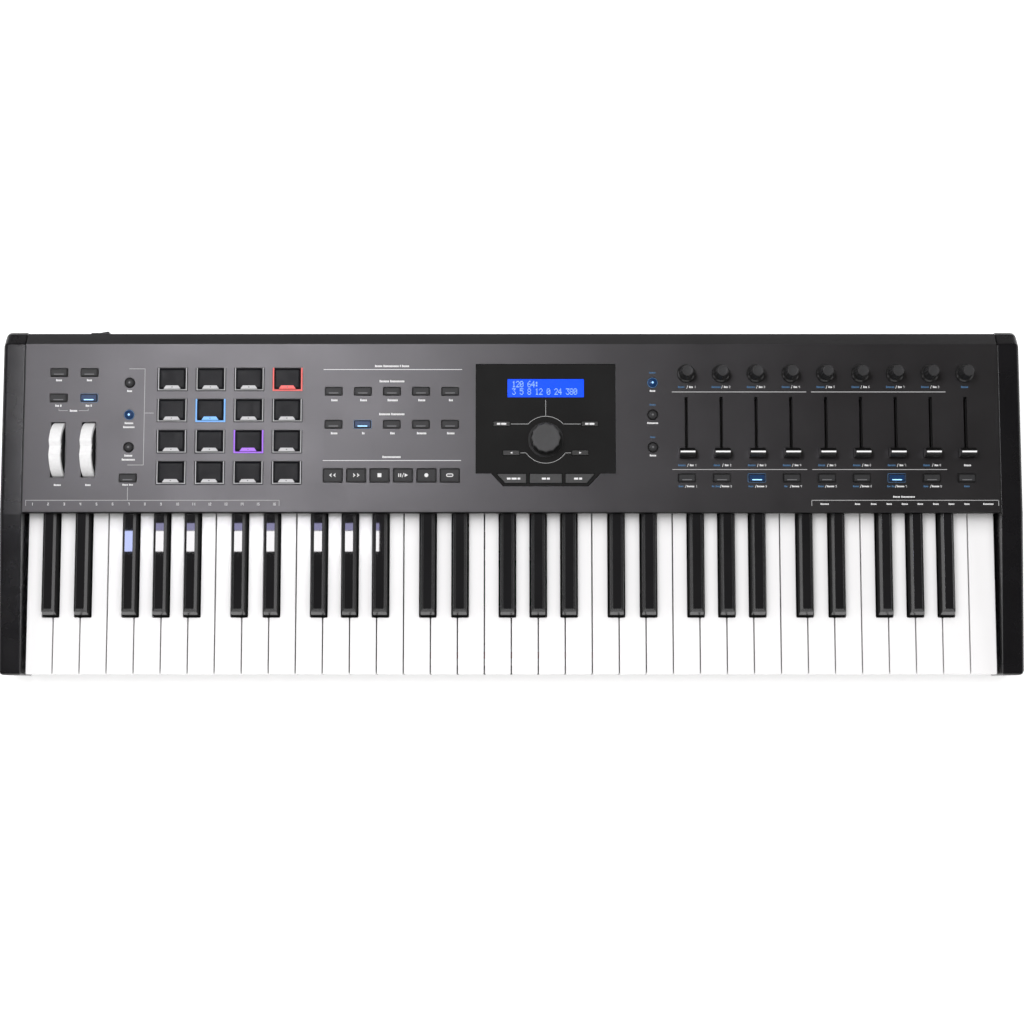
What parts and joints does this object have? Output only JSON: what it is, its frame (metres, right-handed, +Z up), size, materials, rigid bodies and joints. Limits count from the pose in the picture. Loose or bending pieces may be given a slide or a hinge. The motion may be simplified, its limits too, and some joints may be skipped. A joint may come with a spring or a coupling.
{
  "type": "synthesizer",
  "caption": "Controller keyboard with piano-style keys, pitch and modulation wheels, pads, a screen, rotary knobs and faders.",
  "frame": {"origin": "middle of the bounding box, on the surface the feet stand on", "axes": "+X along the keys towards the high notes, +Y away from the player towards the back, +Z up"},
  "size_m": [0.8886, 0.3036, 0.0754],
  "materials": {
    "case_steel": "satin black paint",
    "panel_steel": "satin dark grey paint",
    "cheek_plastic": "fine grain",
    "bare_steel": "plain",
    "dark_steel": "blackened",
    "circuit_board": "solder mask",
    "felt": "felt",
    "light_guide": "translucent",
    "black_gloss": "gloss",
    "screen_glass": "lit blue",
    "black_plastic": "satin",
    "black_rubber": "matt",
    "pad_rubber": "matt",
    "white_plastic": "satin",
    "knob_plastic": "soft touch",
    "cap_plastic": "satin gloss",
    "button_silicone": "matt",
    "button_gloss": "satin gloss",
    "black_key": "gloss",
    "white_key": "gloss"
  },
  "bodies": {
    "case": {"bottom_case": "case_steel", "top_panel": "panel_steel", "left_cheek": "cheek_plastic", "right_cheek": "cheek_plastic", "rear_panel": "case_steel", "keybed_frame": "bare_steel", "key_pivot_rod": "bare_steel", "key_springs": "bare_steel", "key_contact_board": "circuit_board", "key_stop_felts": "felt", "control_board": "circuit_board", "slide_pots": "bare_steel", "encoder_bodies": "bare_steel", "wheel_bracket": "bare_steel", "pad_light_frames": "light_guide", "display_window": "black_gloss", "display_module": "screen_glass", "usb_socket": "bare_steel", "midi_sockets": "black_plastic", "pedal_sockets": "black_plastic", "cv_sockets": "black_plastic", "dc_inlet": "black_plastic", "rubber_feet": "black_rubber", "case_screws": "dark_steel"},
    "c_keys": {"c_keys": "white_key"},
    "d_keys": {"d_keys": "white_key"},
    "e_keys": {"e_keys": "white_key"},
    "f_keys": {"f_keys": "white_key"},
    "g_keys": {"g_keys": "white_key"},
    "a_keys": {"a_keys": "white_key"},
    "b_keys": {"b_keys": "white_key"},
    "c_sharp_keys": {"c_sharp_keys": "black_key"},
    "d_sharp_keys": {"d_sharp_keys": "black_key"},
    "f_sharp_keys": {"f_sharp_keys": "black_key"},
    "g_sharp_keys": {"g_sharp_keys": "black_key"},
    "a_sharp_keys": {"a_sharp_keys": "black_key"},
    "knob_1": {"knob_1": "knob_plastic"},
    "knob_2": {"knob_2": "knob_plastic"},
    "knob_3": {"knob_3": "knob_plastic"},
    "knob_4": {"knob_4": "knob_plastic"},
    "knob_5": {"knob_5": "knob_plastic"},
    "knob_6": {"knob_6": "knob_plastic"},
    "knob_7": {"knob_7": "knob_plastic"},
    "knob_8": {"knob_8": "knob_plastic"},
    "knob_9": {"knob_9": "knob_plastic"},
    "select_shaft": {"select_shaft": "bare_steel"},
    "select_knob": {"select_knob": "knob_plastic"},
    "pitch_wheel": {"pitch_wheel": "white_plastic"},
    "mod_wheel": {"mod_wheel": "white_plastic"},
    "faders_1_to_4": {"faders_1_to_4": "cap_plastic"},
    "faders_5_to_8": {"faders_5_to_8": "cap_plastic"},
    "master_fader": {"master_fader": "cap_plastic"},
    "pads": {"pads": "pad_rubber"},
    "transport_buttons": {"transport_buttons": "button_silicone"},
    "command_buttons": {"command_buttons": "button_silicone"},
    "channel_buttons": {"channel_buttons": "button_silicone"},
    "screen_buttons": {"screen_buttons": "button_gloss"},
    "left_buttons": {"left_buttons": "button_silicone"},
    "round_buttons": {"round_buttons": "button_silicone"},
    "power_switch": {"power_switch": "black_plastic"}
  },
  "joints": [
    {"name": "c_keys_press", "type": "hinge", "parent": "case", "child": "c_keys", "pos_m": [0, 0.012, 0.03], "axis": [1, 0, 0], "range_deg": [0, 3.4], "stiffness_Nm_per_rad": 3, "springref_deg": -6.88, "deforming": ["key_springs"]},
    {"name": "d_keys_press", "type": "hinge", "parent": "case", "child": "d_keys", "pos_m": [0, 0.012, 0.03], "axis": [1, 0, 0], "range_deg": [0, 3.4], "stiffness_Nm_per_rad": 2.5, "springref_deg": -6.88, "deforming": ["key_springs"]},
    {"name": "e_keys_press", "type": "hinge", "parent": "case", "child": "e_keys", "pos_m": [0, 0.012, 0.03], "axis": [1, 0, 0], "range_deg": [0, 3.4], "stiffness_Nm_per_rad": 2.5, "springref_deg": -6.88, "deforming": ["key_springs"]},
    {"name": "f_keys_press", "type": "hinge", "parent": "case", "child": "f_keys", "pos_m": [0, 0.012, 0.03], "axis": [1, 0, 0], "range_deg": [0, 3.4], "stiffness_Nm_per_rad": 2.5, "springref_deg": -6.88, "deforming": ["key_springs"]},
    {"name": "g_keys_press", "type": "hinge", "parent": "case", "child": "g_keys", "pos_m": [0, 0.012, 0.03], "axis": [1, 0, 0], "range_deg": [0, 3.4], "stiffness_Nm_per_rad": 2.5, "springref_deg": -6.88, "deforming": ["key_springs"]},
    {"name": "a_keys_press", "type": "hinge", "parent": "case", "child": "a_keys", "pos_m": [0, 0.012, 0.03], "axis": [1, 0, 0], "range_deg": [0, 3.4], "stiffness_Nm_per_rad": 2.5, "springref_deg": -6.88, "deforming": ["key_springs"]},
    {"name": "b_keys_press", "type": "hinge", "parent": "case", "child": "b_keys", "pos_m": [0, 0.012, 0.03], "axis": [1, 0, 0], "range_deg": [0, 3.4], "stiffness_Nm_per_rad": 2.5, "springref_deg": -6.88, "deforming": ["key_springs"]},
    {"name": "c_sharp_keys_press", "type": "hinge", "parent": "case", "child": "c_sharp_keys", "pos_m": [0, 0.012, 0.03], "axis": [1, 0, 0], "range_deg": [0, 3.4], "stiffness_Nm_per_rad": 2.5, "springref_deg": -6.88, "deforming": ["key_springs"]},
    {"name": "d_sharp_keys_press", "type": "hinge", "parent": "case", "child": "d_sharp_keys", "pos_m": [0, 0.012, 0.03], "axis": [1, 0, 0], "range_deg": [0, 3.4], "stiffness_Nm_per_rad": 2.5, "springref_deg": -6.88, "deforming": ["key_springs"]},
    {"name": "f_sharp_keys_press", "type": "hinge", "parent": "case", "child": "f_sharp_keys", "pos_m": [0, 0.012, 0.03], "axis": [1, 0, 0], "range_deg": [0, 3.4], "stiffness_Nm_per_rad": 2.5, "springref_deg": -6.88, "deforming": ["key_springs"]},
    {"name": "g_sharp_keys_press", "type": "hinge", "parent": "case", "child": "g_sharp_keys", "pos_m": [0, 0.012, 0.03], "axis": [1, 0, 0], "range_deg": [0, 3.4], "stiffness_Nm_per_rad": 2.5, "springref_deg": -6.88, "deforming": ["key_springs"]},
    {"name": "a_sharp_keys_press", "type": "hinge", "parent": "case", "child": "a_sharp_keys", "pos_m": [0, 0.012, 0.03], "axis": [1, 0, 0], "range_deg": [0, 3.4], "stiffness_Nm_per_rad": 2.5, "springref_deg": -6.88, "deforming": ["key_springs"]},
    {"name": "knob_1_turn", "type": "hinge", "parent": "case", "child": "knob_1", "pos_m": [0.1526, 0.1104, 0.07], "axis": [0, 0, 1], "continuous": true},
    {"name": "knob_2_turn", "type": "hinge", "parent": "case", "child": "knob_2", "pos_m": [0.183, 0.1104, 0.07], "axis": [0, 0, 1], "continuous": true},
    {"name": "knob_3_turn", "type": "hinge", "parent": "case", "child": "knob_3", "pos_m": [0.2134, 0.1104, 0.07], "axis": [0, 0, 1], "continuous": true},
    {"name": "knob_4_turn", "type": "hinge", "parent": "case", "child": "knob_4", "pos_m": [0.2438, 0.1104, 0.07], "axis": [0, 0, 1], "continuous": true},
    {"name": "knob_5_turn", "type": "hinge", "parent": "case", "child": "knob_5", "pos_m": [0.2742, 0.1104, 0.07], "axis": [0, 0, 1], "continuous": true},
    {"name": "knob_6_turn", "type": "hinge", "parent": "case", "child": "knob_6", "pos_m": [0.3046, 0.1104, 0.07], "axis": [0, 0, 1], "continuous": true},
    {"name": "knob_7_turn", "type": "hinge", "parent": "case", "child": "knob_7", "pos_m": [0.335, 0.1104, 0.07], "axis": [0, 0, 1], "continuous": true},
    {"name": "knob_8_turn", "type": "hinge", "parent": "case", "child": "knob_8", "pos_m": [0.3654, 0.1104, 0.07], "axis": [0, 0, 1], "continuous": true},
    {"name": "knob_9_turn", "type": "hinge", "parent": "case", "child": "knob_9", "pos_m": [0.3958, 0.1104, 0.07], "axis": [0, 0, 1], "continuous": true},
    {"name": "select_push", "type": "slide", "parent": "case", "child": "select_shaft", "axis": [0, 0, -1], "range_m": [0, 0.0005], "stiffness_N_per_m": 2000, "springref_m": -0.0005},
    {"name": "select_turn", "type": "hinge", "parent": "select_shaft", "child": "select_knob", "pos_m": [0.03, 0.0523, 0.066], "axis": [0, 0, 1], "continuous": true},
    {"name": "pitch_wheel_turn", "type": "hinge", "parent": "case", "child": "pitch_wheel", "pos_m": [-0.3944, 0.0434, 0.048], "axis": [1, 0, 0], "range_deg": [-40, 40], "stiffness_Nm_per_rad": 0.05},
    {"name": "mod_wheel_turn", "type": "hinge", "parent": "case", "child": "mod_wheel", "pos_m": [-0.3678, 0.0434, 0.048], "axis": [1, 0, 0], "range_deg": [-40, 40]},
    {"name": "faders_1_to_4_slide", "type": "slide", "parent": "case", "child": "faders_1_to_4", "axis": [0, 1, 0], "range_m": [0, 0.045]},
    {"name": "faders_5_to_8_slide", "type": "slide", "parent": "case", "child": "faders_5_to_8", "axis": [0, 1, 0], "range_m": [0, 0.045]},
    {"name": "master_fader_slide", "type": "slide", "parent": "case", "child": "master_fader", "axis": [0, 1, 0], "range_m": [0, 0.045]},
    {"name": "pads_press", "type": "slide", "parent": "case", "child": "pads", "axis": [0, 0, -1], "range_m": [0, 0.001], "stiffness_N_per_m": 4800, "springref_m": -0.0005},
    {"name": "transport_buttons_press", "type": "slide", "parent": "case", "child": "transport_buttons", "axis": [0, 0, -1], "range_m": [0, 0.0006], "stiffness_N_per_m": 1500, "springref_m": -0.0005},
    {"name": "command_buttons_press", "type": "slide", "parent": "case", "child": "command_buttons", "axis": [0, 0, -1], "range_m": [0, 0.0006], "stiffness_N_per_m": 2500, "springref_m": -0.0005},
    {"name": "channel_buttons_press", "type": "slide", "parent": "case", "child": "channel_buttons", "axis": [0, 0, -1], "range_m": [0, 0.0006], "stiffness_N_per_m": 2250, "springref_m": -0.0005},
    {"name": "screen_buttons_press", "type": "slide", "parent": "case", "child": "screen_buttons", "axis": [0, 0, -1], "range_m": [0, 0.0006], "stiffness_N_per_m": 1750, "springref_m": -0.0005},
    {"name": "left_buttons_press", "type": "slide", "parent": "case", "child": "left_buttons", "axis": [0, 0, -1], "range_m": [0, 0.0006], "stiffness_N_per_m": 1250, "springref_m": -0.0005},
    {"name": "round_buttons_press", "type": "slide", "parent": "case", "child": "round_buttons", "axis": [0, 0, -1], "range_m": [0, 0.0006], "stiffness_N_per_m": 1500, "springref_m": -0.0005},
    {"name": "power_switch_rock", "type": "hinge", "parent": "case", "child": "power_switch", "pos_m": [-0.3635, 0.1431, 0.034], "axis": [0, 0, 1], "range_deg": [-10, 0]}
  ]
}
